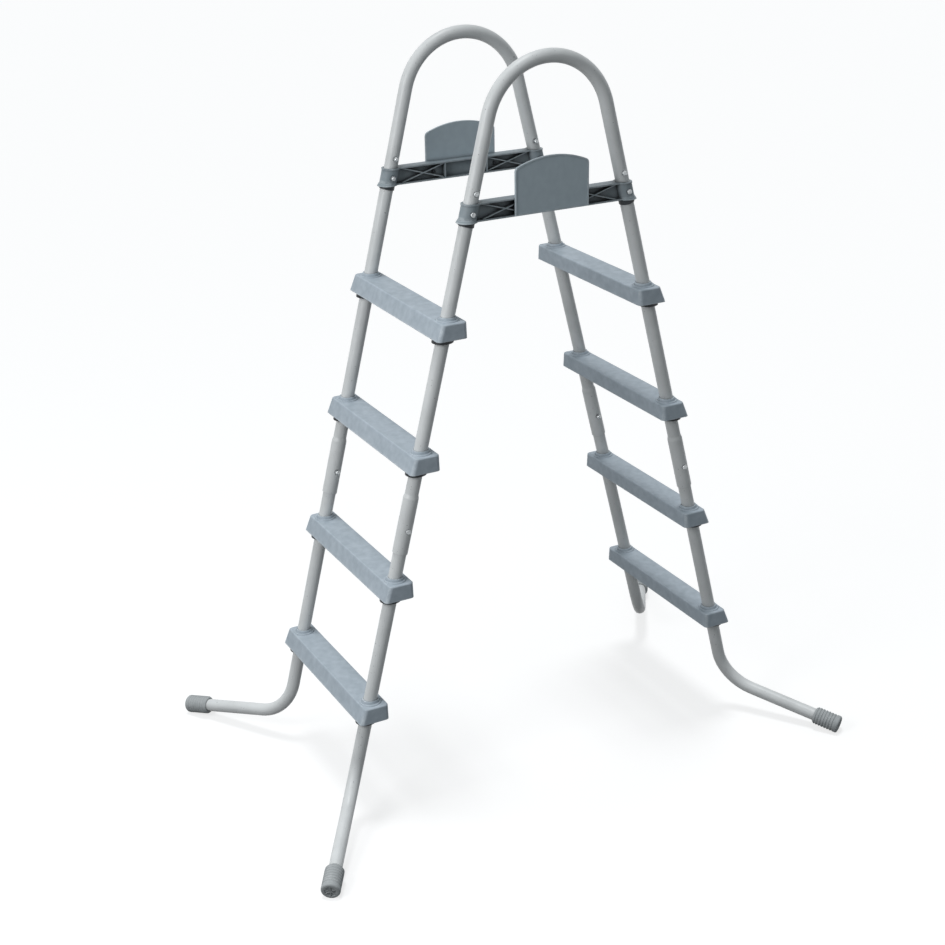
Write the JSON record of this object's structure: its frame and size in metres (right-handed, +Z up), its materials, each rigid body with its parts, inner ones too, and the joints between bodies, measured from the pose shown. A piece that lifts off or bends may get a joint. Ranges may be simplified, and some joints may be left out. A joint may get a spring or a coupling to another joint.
{
  "type": "pool ladder",
  "caption": "A-frame pool ladder: bent tube handrails and legs, moulded hollow treads, truss braces with blank plates, and splayed feet in ribbed rubber caps.",
  "frame": {"origin": "on the ground, in the middle of the four feet", "axes": "+Z up, +X from the left ladder over the pool wall to the right ladder, +Y from the near rail to the far rail along the treads"},
  "size_m": [1.295, 0.8468, 1.5611],
  "materials": {
    "tube": "satin powder coat",
    "tread": "fine texture",
    "brace": "fine texture",
    "bush": "smooth",
    "ring": "smooth",
    "cap": "ribbed",
    "bolt": "bright plated",
    "screw": "zinc plated"
  },
  "bodies": {
    "root": {"brace_far": "brace", "brace_near": "brace", "bush_left_1_far": "bush", "bush_left_1_near": "bush", "bush_left_2_far": "bush", "bush_left_2_near": "bush", "bush_left_3_far": "bush", "bush_left_3_near": "bush", "bush_left_4_far": "bush", "bush_left_4_near": "bush", "bush_right_1_far": "bush", "bush_right_1_near": "bush", "bush_right_2_far": "bush", "bush_right_2_near": "bush", "bush_right_3_far": "bush", "bush_right_3_near": "bush", "bush_right_4_far": "bush", "bush_right_4_near": "bush", "collar_bolts": "bolt", "collar_nuts": "bolt", "collar_ring_left_far": "ring", "collar_ring_left_near": "ring", "collar_ring_right_far": "ring", "collar_ring_right_near": "ring", "coupling_bolts": "bolt", "coupling_nuts": "bolt", "foot_cap_left_far": "cap", "foot_cap_left_near": "cap", "foot_cap_right_far": "cap", "foot_cap_right_near": "cap", "handrail_bolts": "bolt", "handrail_far": "tube", "handrail_near": "tube", "handrail_nuts": "bolt", "lower_leg_left_far": "tube", "lower_leg_left_near": "tube", "lower_leg_right_far": "tube", "lower_leg_right_near": "tube", "plate_far": "brace", "plate_near": "brace", "plate_screws": "screw", "tread_left_1": "tread", "tread_left_2": "tread", "tread_left_3": "tread", "tread_left_4": "tread", "tread_right_1": "tread", "tread_right_2": "tread", "tread_right_3": "tread", "tread_right_4": "tread", "tread_screws": "screw", "upper_leg_left_far": "tube", "upper_leg_left_near": "tube", "upper_leg_right_far": "tube", "upper_leg_right_near": "tube"}
  },
  "joints": []
}
